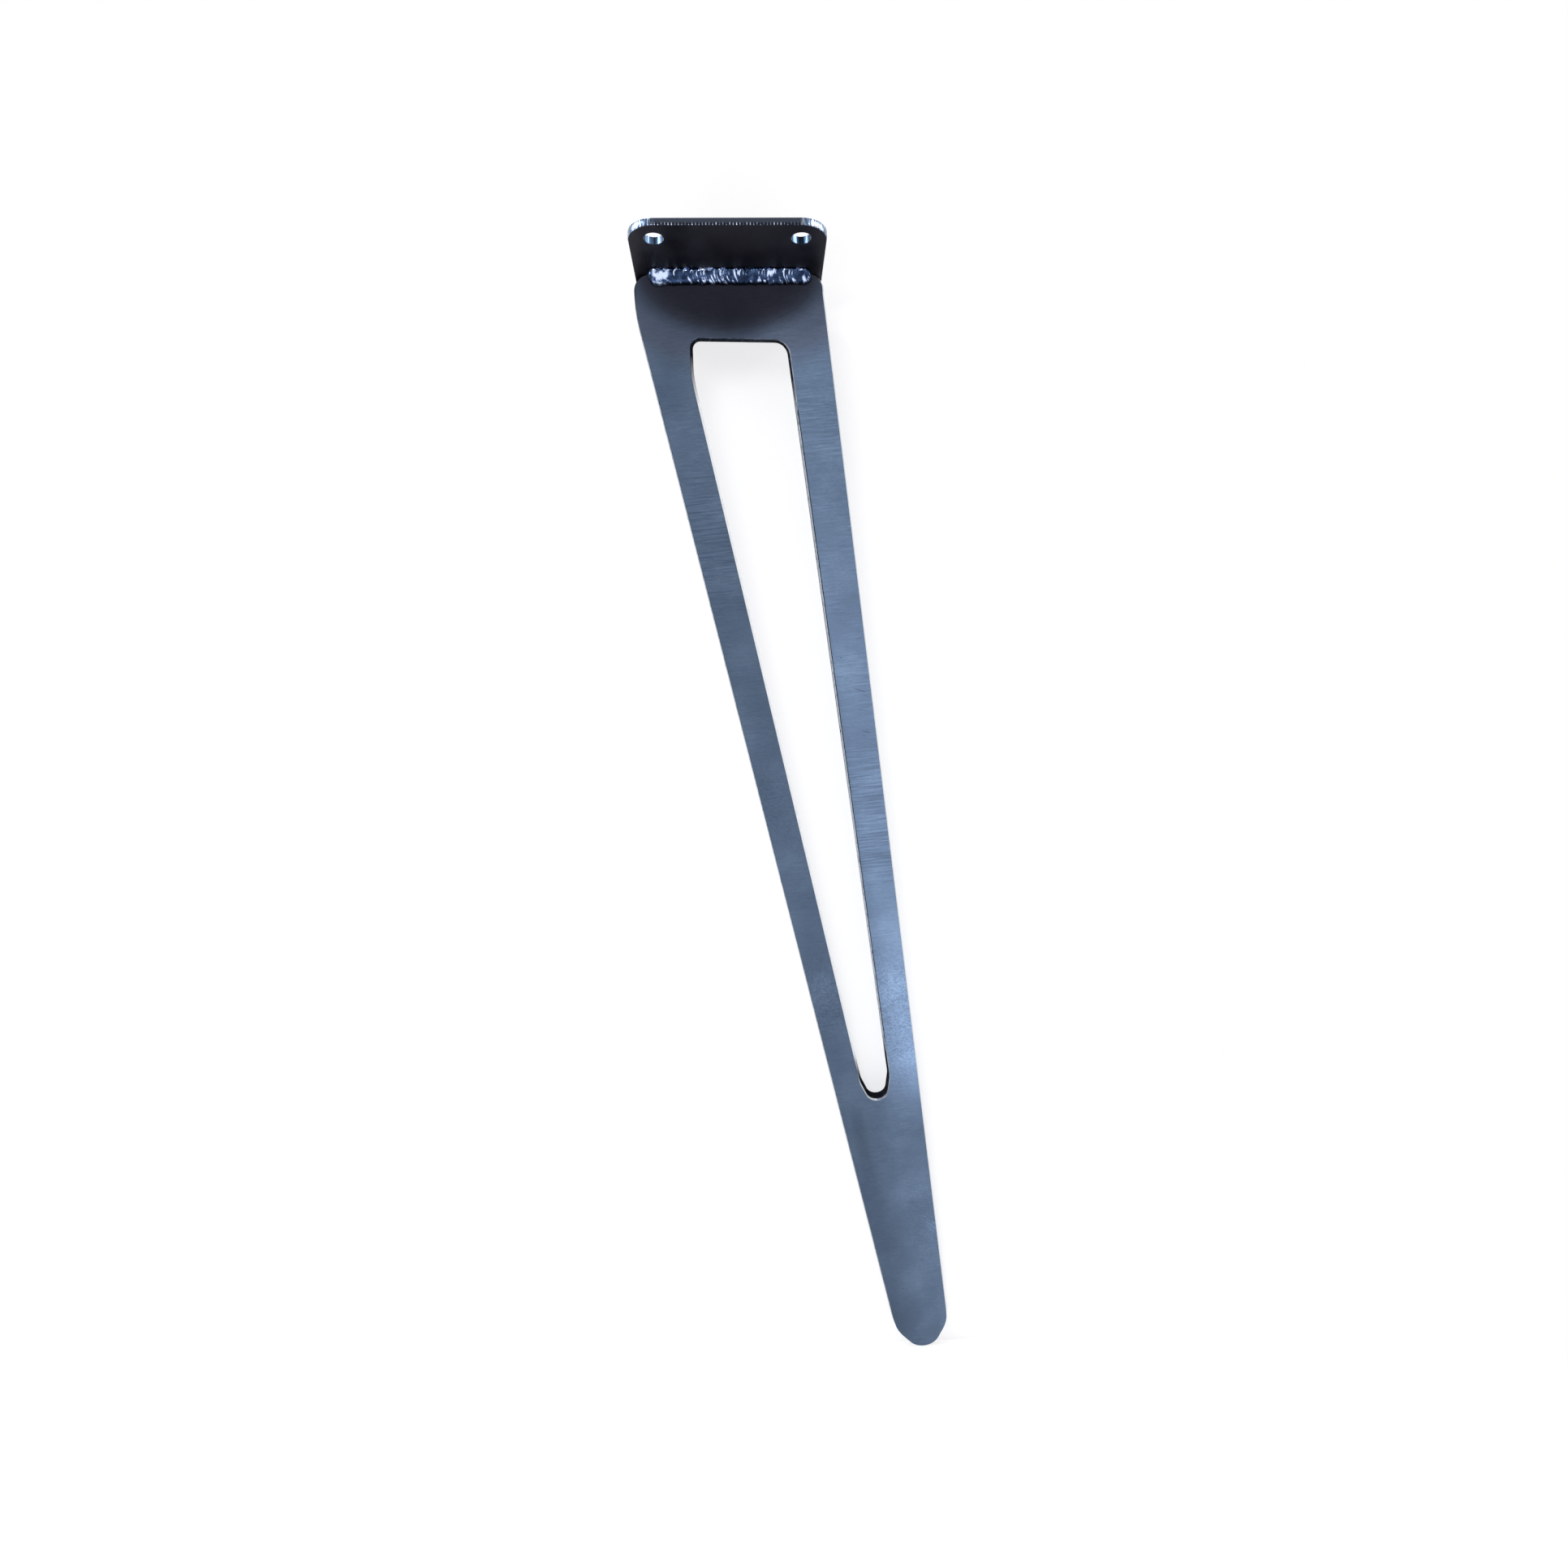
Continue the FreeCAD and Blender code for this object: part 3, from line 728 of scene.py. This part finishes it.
def apply_modifier(piece: Piece, kind: str, **settings: Any) -> None:
    """Change a piece by a modifier.

    Args:
        piece: Piece that is changed.
        kind: Type of the modifier.
        settings: Properties of the modifier.
    """
    select_only(piece)
    modifier = piece.modifiers.new(kind.lower(), kind)
    for name, value in settings.items():
        setattr(modifier, name, value)
    bpy.ops.object.modifier_apply(modifier=modifier.name)


def add_finishes(piece: Piece, finishes: tuple[Any, ...],
                 choose: Callable[[Face], int]) -> None:
    """Give each face of a piece one of several finishes.

    Args:
        piece: Piece that gets the materials.
        finishes: Finishes, in slot order.
        choose: Function from a face to the number of its slot.
    """
    for finish in finishes:
        piece.data.materials.append(finish.build())
    for face in piece.data.polygons:
        face.material_index = choose(face)


@dataclass
class MountingPlate:
    """Square plate that the table top is screwed to, cut out with a torch.

    The torch left drag grooves in the lower part of the edge, one to each pulse of its feed. A
    row of the edge is its drop below the top face, how far its rim is broken, and its share of
    the grooves' depth.
    """

    width: float = 101.6
    depth: float = 101.6
    corner: float = 14.0
    hole_diameter: float = 10.3
    hole_inset_side: float = 13.3
    hole_inset_front: float = 12.0
    column: float = 0.42
    groove_depth: float = 0.16
    rows: tuple[Point, ...] = (
        (0.0, 0.3, 0.0), (0.12, 0.08, 0.0), (0.4, 0.0, 0.0), (2.2, 0.0, 0.1),
        (2.6, 0.0, 0.8), (3.1, 0.02, 1.0), (3.4, 0.06, 0.8), (3.7, 0.16, 0.3), (3.8, 0.3, 0.0))
    finishes: tuple[Any, ...] = (MillScale(), GroovedEdge(), DrilledSteel())

    def build(self) -> Piece:
        """Build the plate.

        Returns:
            The finished piece.
        """
        piece = self.outline()
        self.extrude_wall(piece)
        self.shape_wall(piece)
        self.drill(piece)
        add_finishes(piece, self.finishes, self.slot_of)
        select_only(piece)
        bpy.ops.object.shade_smooth_by_angle(angle=math.radians(38))
        for face in piece.data.polygons:
            face.use_smooth = face.material_index != PlateSlot.SCALE
        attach(piece, "root")
        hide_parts("mounting_plate")
        return piece

    def outline(self) -> Piece:
        """Draw the plate's outline at its top face.

        Returns:
            The outline, a loop of short edges.
        """
        piece = add_primitive(bpy.ops.mesh.primitive_plane_add, size=1.0)
        piece.name = "dressed_plate"
        bpy.ops.object.mode_set(mode="EDIT")
        bpy.ops.transform.resize(value=(self.width * MM, self.depth * MM, 1.0))
        bpy.ops.mesh.bevel(offset=self.corner * MM, offset_pct=0, affect="VERTICES",
                           segments=round(self.corner * math.pi / 2 / self.column))
        bpy.ops.mesh.select_all(action="SELECT")
        bpy.ops.mesh.delete(type="ONLY_FACE")
        bpy.ops.object.mode_set(mode="OBJECT")
        straight = self.width - 2 * self.corner
        for edge in piece.data.edges:
            start, end = (piece.data.vertices[index].co for index in edge.vertices)
            edge.select = (end - start).length > straight / 2 * MM
        bpy.ops.object.mode_set(mode="EDIT")
        bpy.ops.mesh.select_mode(type="EDGE")
        bpy.ops.mesh.subdivide(number_cuts=round(straight / self.column))
        bpy.ops.object.mode_set(mode="OBJECT")
        return piece

    def extrude_wall(self, piece: Piece) -> None:
        """Extrude the outline down row by row, and close both faces.

        Args:
            piece: Loop of edges at the top face.
        """
        bpy.ops.object.mode_set(mode="EDIT")
        bpy.ops.mesh.select_all(action="SELECT")
        for above, below in zip(self.rows, self.rows[1:]):
            drop = (below[0] - above[0]) * MM
            bpy.ops.mesh.extrude_edges_move(TRANSFORM_OT_translate={"value": (0, 0, -drop)})
        bpy.ops.mesh.edge_face_add()
        bpy.ops.mesh.select_all(action="DESELECT")
        bpy.ops.object.mode_set(mode="OBJECT")
        for edge in piece.data.edges:
            edge.select = all(piece.data.vertices[index].co.z > -1e-6 for index in edge.vertices)
        bpy.ops.object.mode_set(mode="EDIT")
        bpy.ops.mesh.edge_face_add()
        bpy.ops.mesh.select_all(action="SELECT")
        bpy.ops.mesh.normals_make_consistent(inside=False)
        bpy.ops.object.mode_set(mode="OBJECT")

    def run_and_normal(self, place: Vector) -> tuple[float, Vector]:
        """Find where a point of the wall is along the outline.

        Args:
            place: Point on the outline, in metres.

        Returns:
            Millimetres along the outline, and the outward direction there.
        """
        half_x, half_y = self.width / 2 - self.corner, self.depth / 2 - self.corner
        x, y = place.x / MM, place.y / MM
        over_x, over_y = abs(x) - half_x, abs(y) - half_y
        if over_x > 0 and over_y > 0:
            turn = math.atan2(over_y, over_x)
            run = half_y + self.corner * turn
            out = Vector((math.copysign(math.cos(turn), x), math.copysign(math.sin(turn), y), 0))
        elif over_x > over_y:
            run = abs(y)
            out = Vector((math.copysign(1, x), 0, 0))
        else:
            run = half_y + self.corner * math.pi / 2 + half_x - abs(x)
            out = Vector((0, math.copysign(1, y), 0))
        quarter = half_x + half_y + self.corner * math.pi / 2
        if x * y < 0:
            run = 2 * quarter - run
        return run + (2 * quarter if y > 0 else 0), out

    def shape_wall(self, piece: Piece) -> None:
        """Round both rims, cut the drag grooves, and store where each place of the wall is.

        Args:
            piece: Plate with plumb walls.
        """
        dice = random.Random(5)
        grooves = [dice.uniform(0.35, 1.0) for _ in range(400)]
        layer = piece.data.uv_layers.new(name="wall")
        rows = {round(row[0], 3): row for row in self.rows}
        runs = []
        for vertex in piece.data.vertices:
            run, out = self.run_and_normal(vertex.co)
            runs.append(run)
            _, rim, share = rows[round(-vertex.co.z / MM, 3)]
            number, phase = divmod(run / GROOVE_PITCH, 1)
            groove = math.sin(math.pi * phase) ** 2 * grooves[int(number)]
            vertex.co -= out * (rim + share * self.groove_depth * groove) * MM
        for loop in piece.data.loops:
            vertex = piece.data.vertices[loop.vertex_index]
            layer.data[loop.index].uv = (runs[loop.vertex_index], -vertex.co.z / MM)

    def drill(self, piece: Piece) -> None:
        """Drill the four screw holes.

        Args:
            piece: Plate that is drilled.
        """
        for side in (-1, 1):
            for end in (-1, 1):
                place = (side * (self.width / 2 - self.hole_inset_side) * MM,
                         end * (self.depth / 2 - self.hole_inset_front) * MM,
                         -PLATE_THICKNESS / 2 * MM)
                bit = add_primitive(bpy.ops.mesh.primitive_cylinder_add, vertices=64,
                                    location=place, radius=self.hole_diameter / 2 * MM,
                                    depth=3 * PLATE_THICKNESS * MM)
                apply_modifier(piece, "BOOLEAN", operation="DIFFERENCE", solver="EXACT",
                               object=bit)
                bpy.data.objects.remove(bit)

    def slot_of(self, face: Face) -> int:
        """Tell mill scale, cut edge and drilled bores apart.

        Args:
            face: Face of the plate.

        Returns:
            Its slot.
        """
        if abs(face.normal.z) > FLAT_COSINE:
            return PlateSlot.SCALE
        inside_x = abs(face.center.x) / MM < self.width / 2 - self.hole_inset_side / 2
        inside_y = abs(face.center.y) / MM < self.depth / 2 - self.hole_inset_front / 2
        return PlateSlot.BORE if inside_x and inside_y else PlateSlot.EDGE


@dataclass
class LegBlade:
    """Slotted blade that is the leg itself. Each wall has its own finish and painted highlights.

    The prongs' middle lines stand off the blade's own middle line by an offset at the plate, and
    close in on it by a taper for each millimetre of drop.
    """

    edge_break: float = 0.42
    prong_offset: float = 38.0
    prong_taper: float = 0.0434
    slot_top: tuple[float, float] = (36.0, 62.0)
    slot_toe: tuple[float, float] = (488.0, 514.0)
    finishes: tuple[Any, ...] = (
        SandedSteel(),
        # The cut walls' glint runs are painted highlights, where each wall catches the light.
        CutSteel("cut_slot_left", (55.0, 82.0, 482.0, 500.0), (60.0, 75.0, 280.0, 330.0),
                 ((34.0, 38.0, 66.0, 72.0), (484.0, 496.0, 600.0, 601.0))),
        CutSteel("cut_slot_right", (42.0, 68.0, 498.0, 518.0),
                 rim_runs=((512.0, 522.0, 600.0, 601.0),), rim_depth=-1.0, specks=(0.1, 0.2),
                 glint_shades=("#dce0e6", "#eceff3")),
        CutSteel("cut_outer_left", (10.0, 50.0, 760.0, 775.0), (415.0, 450.0, 700.0, 760.0)),
        CutSteel("cut_outer_right", (-20.0, -10.0, 740.0, 765.0), rim_depth=-1.0,
                 specks=(0.1, 0.2), glint_shades=("#b6bec9", "#c9d0d9")),
        FiledEdge("blued_arris", "#2e3a50", "#1b2331", 6.0, 0.0),
        FiledEdge("browned_arris", "#625d66", "#403e47", 6.0, 0.0),
        FiledEdge())

    def build(self) -> Piece:
        """Build the blade.

        Returns:
            The finished piece.
        """
        piece = self.merged_solid()
        add_finishes(piece, self.finishes, self.slot_of)
        bpy.ops.object.shade_smooth_by_angle(angle=math.radians(32))
        apply_modifier(piece, "BEVEL", width=self.edge_break * MM, segments=2,
                       limit_method="ANGLE", angle_limit=math.radians(40),
                       material=BladeSlot.BLUE_ARRIS, harden_normals=True)
        for face in piece.data.polygons:
            if face.material_index == BladeSlot.BLUE_ARRIS:
                face.material_index = self.arris_of(face)
        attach(piece, "root")
        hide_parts("leg_blade")
        return piece

    def merged_solid(self) -> Piece:
        """Copy the solid as a clean mesh: its loose triangles merged into whole faces.

        Returns:
            The new piece, which has no material yet.
        """
        piece = bpy.data.objects.new("dressed_blade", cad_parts["leg_blade"].data.copy())
        bpy.context.scene.collection.objects.link(piece)
        piece.data.materials.clear()
        select_only(piece)
        bpy.ops.object.mode_set(mode="EDIT")
        bpy.ops.mesh.select_all(action="SELECT")
        bpy.ops.mesh.remove_doubles(threshold=0.002 * MM)
        bpy.ops.mesh.dissolve_limited(angle_limit=math.radians(0.2))
        bpy.ops.object.mode_set(mode="OBJECT")
        return piece

    def measure(self, face: Face) -> tuple[float, bool, bool]:
        """Find where a face is on the blade.

        Args:
            face: Face of the blade.

        Returns:
            Its drop in millimetres, if it is one of the slot's, and if it faces right.
        """
        drop = (face.center.y * math.sin(BLADE_LEAN) - face.center.z * math.cos(BLADE_LEAN)) / MM
        offset = face.center.x / MM - drop * math.tan(LEG_SLANT)
        in_slot = abs(offset) < self.prong_offset - self.prong_taper * drop
        return drop, in_slot, face.normal.x > 0

    def slot_of(self, face: Face) -> int:
        """Tell the sanded faces from the cut walls, and these by place and direction.

        Args:
            face: Face of the blade.

        Returns:
            Its slot.
        """
        out = Vector((0, -math.cos(BLADE_LEAN), -math.sin(BLADE_LEAN)))
        if abs(face.normal.dot(out)) > FLAT_COSINE:
            return BladeSlot.FACE
        _, in_slot, right = self.measure(face)
        if in_slot:
            return BladeSlot.SLOT_RIGHT if right else BladeSlot.SLOT_LEFT
        return BladeSlot.OUTER_RIGHT if right else BladeSlot.OUTER_LEFT

    def arris_of(self, face: Face) -> int:
        """Tell the bright broken edges at the slot's ends, with painted highlights, from the dark
        ones.

        Args:
            face: Face of a broken edge.

        Returns:
            Its slot.
        """
        drop, in_slot, right = self.measure(face)
        at_top = drop < self.slot_top[0] or (drop < self.slot_top[1] and face.normal.x < -0.3)
        if in_slot and (at_top or drop > self.slot_toe[right]):
            return BladeSlot.BRIGHT_ARRIS
        return BladeSlot.BROWN_ARRIS if right else BladeSlot.BLUE_ARRIS


@dataclass
class WeldBead:
    """Fillet weld of overlapping frozen pools, along one side of the blade's root."""

    side: Side
    node: str
    seed: int
    start: float = -42.3
    end: float = 44.8
    plate_leg: float = 6.6
    blade_leg: float = 4.8
    pitch: float = 1.5
    pool_length: float = 3.3
    pool_height: float = 1.7
    core_height: float = 1.6
    core_width: float = 0.93
    start_reach: float = 13.0
    end_reach: float = 6.0
    lift: float = 13.0
    voxel: float = 0.2
    finish: WeldMetal = WeldMetal()

    def heel(self) -> Vector:
        """Middle of the inner corner that the weld fills."""
        half_root = BLADE_THICKNESS / (2 * math.cos(BLADE_LEAN))
        return Vector((0, self.side.value * half_root, -PLATE_THICKNESS)) * MM

    def section(self) -> tuple[Vector, Vector, Vector, float]:
        """Lay out the weld's section between its toes on the plate and on the blade.

        Returns:
            Direction along the chord between the toes, direction out of the corner, the
            chord's middle and half of its length in metres.
        """
        plate_toe = Vector((0, self.side.value * self.plate_leg, 0))
        blade_toe = Vector((0, math.sin(BLADE_LEAN), -math.cos(BLADE_LEAN))) * self.blade_leg
        chord = (plate_toe - blade_toe).normalized()
        outwards = Vector((1, 0, 0)).cross(chord)
        if outwards.z > 0:
            outwards.negate()
        middle = self.heel() + (plate_toe * MM + blade_toe * MM) / 2
        return chord, outwards, middle, (plate_toe * MM - blade_toe * MM).length / 2

    def core(self) -> Piece:
        """Model the weld's body under the pools: a flattened rod along the corner.

        Returns:
            The rod.
        """
        chord, outwards, middle, half_chord = self.section()
        piece = add_primitive(bpy.ops.mesh.primitive_cylinder_add, vertices=32, radius=1.0,
                              depth=2.0)
        half_run = (self.end - self.start) / 2 - self.pool_length
        spin = Matrix((chord * half_chord * self.core_width, outwards * self.core_height * MM,
                       Vector((half_run * MM, 0, 0)))).transposed().to_4x4()
        centre = middle + Vector(((self.start + self.end) / 2 * MM, 0, 0))
        piece.data.transform(Matrix.Translation(centre) @ spin)
        return piece

    def pools(self) -> list[Piece]:
        """Model the frozen pools: flat lenses that overlap like scales, each a little raised.

        The first pools are wider and flatter, and the last ones taper off.

        Returns:
            The pools in a row.
        """
        dice = random.Random(self.seed)
        chord, outwards, middle, half_chord = self.section()
        pattern = add_primitive(bpy.ops.mesh.primitive_uv_sphere_add, segments=32,
                                ring_count=16, radius=1.0)
        pools = []
        place = self.start + self.pool_length * 0.8
        while place < self.end - self.pool_length * 0.8:
            from_start = min((place - self.start) / self.start_reach, 1)
            near_start = 0.5 * (1 + math.cos(math.pi * from_start))
            near_end = min((self.end - place) / self.end_reach, 1)
            size = (1.0 + 0.17 * near_start) * (0.82 + 0.18 * near_end) * dice.uniform(0.95, 1.05)
            lift = math.radians(self.lift * (1 - 0.6 * near_start)
                                + 6 * math.sin(0.55 * place + self.seed) + dice.uniform(-3, 3))
            yaw = math.radians(dice.uniform(-9, 9))
            run = Vector((math.cos(yaw), 0, 0)) + chord * math.sin(yaw)
            side = chord * math.cos(yaw) - Vector((math.sin(yaw), 0, 0))
            raised = run * math.cos(lift) + outwards * math.sin(lift)
            out = outwards * math.cos(lift) - run * math.sin(lift)
            spin = Matrix((raised * self.pool_length * size * MM, side * half_chord * size,
                           out * self.pool_height * size * MM)).transposed().to_4x4()
            centre = middle + Vector((place * MM, 0, 0))
            centre += outwards * (0.25 + 0.5 * near_start + dice.uniform(-0.12, 0.12)) * MM
            centre += chord * dice.uniform(-0.3, 0.3) * MM
            pool = bpy.data.objects.new("pool", pattern.data.copy())
            bpy.context.scene.collection.objects.link(pool)
            pool.data.transform(Matrix.Translation(centre) @ spin)
            pools.append(pool)
            place += self.pitch * dice.uniform(0.6, 1.4)
        bpy.data.objects.remove(pattern)
        return pools

    def build(self) -> Piece:
        """Build the weld: pools on a core, fused and cut off flush with plate and blade.

        Returns:
            The finished piece.
        """
        piece = self.core()
        pools = self.pools()
        select_only(piece)
        for pool in pools:
            pool.select_set(True)
        bpy.ops.object.join()
        piece.name = "dressed_" + self.node
        apply_modifier(piece, "REMESH", mode="VOXEL", voxel_size=self.voxel * MM)
        apply_modifier(piece, "SMOOTH", factor=0.5, iterations=1)
        self.trim(piece)
        bpy.ops.object.shade_smooth_by_angle(angle=math.radians(50))
        add_finishes(piece, (self.finish,), lambda face: 0)
        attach(piece, "root")
        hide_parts(self.node)
        return piece

    def trim(self, piece: Piece) -> None:
        """Cut a weld off flush with the plate's underside and the blade's face.

        Args:
            piece: Weld that is cut.
        """
        select_only(piece)
        bpy.ops.object.mode_set(mode="EDIT")
        out_of_blade = Vector((0, math.cos(BLADE_LEAN), math.sin(BLADE_LEAN))) * self.side.value
        for normal in (Vector((0, 0, -1)), out_of_blade):
            bpy.ops.mesh.select_all(action="SELECT")
            bpy.ops.mesh.bisect(plane_co=self.heel(), plane_no=normal, use_fill=True,
                                clear_inner=True)
        bpy.ops.object.mode_set(mode="OBJECT")


@dataclass(frozen=True)
class Lamp:
    """Rectangular area lamp: its place, aim and size in metres, and its power in watts."""

    name: str
    place: Point
    aim: Point
    size: tuple[float, float]
    power: float

    def build(self) -> None:
        """Set the lamp up and aim it."""
        data = bpy.data.lights.new(self.name, "AREA")
        data.shape = "RECTANGLE"
        data.size, data.size_y = self.size
        data.energy = self.power
        lamp = bpy.data.objects.new(self.name, data)
        bpy.context.scene.collection.objects.link(lamp)
        lamp.location = self.place
        towards = Vector(self.aim) - Vector(self.place)
        lamp.rotation_euler = towards.to_track_quat("-Z", "Y").to_euler()


@dataclass
class Studio:
    """Pale floor, white surroundings, soft lamps and the photograph's camera, in metres."""

    floor_size: float = 1.2
    floor_glow: float = 0.65
    backdrop_size: tuple[float, float] = (0.7, 0.86)
    backdrop_glow: float = 0.55
    paper: str = "#f4f4f6"
    paper_light: float = 1.12
    world_light: float = 0.45
    lens: float = 24.235
    camera_place: Point = (0.0036993, -0.5610531, -0.3081163)
    camera_right: Point = (0.99915, -0.03448, -0.02285)
    camera_down: Point = (-0.02109, 0.05082, -0.99849)
    lamps: tuple[Lamp, ...] = (
        Lamp("overhead_softbox", (-0.35, -0.6, 1.35), (0, 0, -0.2), (0.6, 0.6), 12),
        Lamp("front_softbox", (-0.3, -1.3, -0.1), (0, 0.1, -0.3), (0.3, 0.3), 4),
        Lamp("left_softbox", (-1.5, -0.45, 0.85), (0, 0, 0), (1.6, 0.35), 20),
        Lamp("right_softbox", (1.5, -0.45, 0.85), (0, 0, 0), (1.6, 0.35), 16),
        Lamp("low_left_lamp", (-1.1, 0.0, -0.45), (0, 0, -0.1), (0.25, 0.25), 9),
        Lamp("low_right_lamp", (1.2, -0.1, -0.45), (0, 0, -0.1), (0.15, 0.15), 1.5))

    def build(self) -> None:
        """Set up everything around the leg."""
        bpy.context.scene.view_settings.view_transform = "Standard"
        self.add_world()
        self.add_floor()
        self.add_backdrop()
        for lamp in self.lamps:
            lamp.build()
        self.add_camera()

    def add_world(self) -> None:
        """White surroundings, for the camera and for what the metal mirrors."""
        bpy.context.scene.world = bpy.data.worlds.new("studio")
        nodes = Nodes(bpy.context.scene.world)
        strength = nodes.add("Math MAXIMUM", (nodes.seen(), self.world_light))
        background = nodes.add("Background", ((1, 1, 1, 1), strength))
        nodes.add("OutputWorld", (background,))

    def add_paper(self, sheet: Piece, glow: float) -> None:
        """Make a sheet of white paper that shows nearly white and keeps a shadow.

        Args:
            sheet: Floor or backdrop.
            glow: Share of the white that is there even in shadow.
        """
        nodes = Nodes(sheet.name + "_paper")
        nodes.owner.cycles.emission_sampling = "NONE"
        matt = nodes.add("BsdfDiffuse", (linear(self.paper),))
        light = nodes.add("Emission", ((1, 1, 1, 1), self.paper_light))
        share = nodes.add("Math MULTIPLY", (nodes.seen(), glow))
        mixed = nodes.add("MixShader", (share, matt, light))
        behind = nodes.add("NewGeometry").outputs["Backfacing"]
        one_sided = nodes.add("MixShader", (behind, mixed, nodes.add("BsdfTransparent")))
        nodes.add("OutputMaterial", (one_sided,))
        sheet.data.materials.append(nodes.owner)

    def add_floor(self) -> None:
        """Lay the floor under the foot."""
        floor = add_primitive(bpy.ops.mesh.primitive_plane_add, size=self.floor_size,
                              location=(0, -0.1, CAD_BOX[0][2]))
        floor.name = "floor"
        self.add_paper(floor, self.floor_glow)

    def add_backdrop(self) -> None:
        """Stand a white sheet against the leg's back: it touches the plate and the foot."""
        top = Vector((0, MountingPlate.depth / 2 * MM, 0))
        foot = Vector((0, CAD_BOX[1][1] + 0.5 * MM, CAD_BOX[0][2]))
        down = (foot - top).normalized()
        sheet = add_primitive(bpy.ops.mesh.primitive_plane_add, size=1.0, location=(0, 0, 0))
        sheet.name = "backdrop"
        width, height = self.backdrop_size
        turn = Matrix.Rotation(math.pi / 2 + math.atan2(down.y, -down.z), 4, "X")
        sheet.data.transform(Matrix.Translation(foot - down * height / 2) @ turn
                             @ Matrix.Diagonal((width, height, 1.0, 1.0)))
        self.add_paper(sheet, self.backdrop_glow)

    def add_camera(self) -> None:
        """Set the camera where the photograph was taken from."""
        right = Vector(self.camera_right).normalized()
        up = -Vector(self.camera_down)
        up = (up - right * up.dot(right)).normalized()
        data = bpy.data.cameras.new("camera")
        data.lens = self.lens
        data.clip_start = 0.01
        camera = bpy.data.objects.new("camera", data)
        bpy.context.scene.collection.objects.link(camera)
        turn = Matrix((right, up, right.cross(up))).transposed().to_4x4()
        camera.matrix_world = Matrix.Translation(self.camera_place) @ turn
        bpy.context.scene.camera = camera


def main() -> None:
    """Build the leg's pieces in order, then the studio."""
    logging.basicConfig(level=logging.INFO, format="%(message)s")
    for part in (MountingPlate(), LegBlade(), WeldBead(Side.FRONT, "weld_bead_front", 11),
                 WeldBead(Side.REAR, "weld_bead_rear", 23)):
        piece = part.build()
        LOG.info("%s: %d faces", piece.name, len(piece.data.polygons))
    Studio().build()


if __name__ == "__main__":
    main()
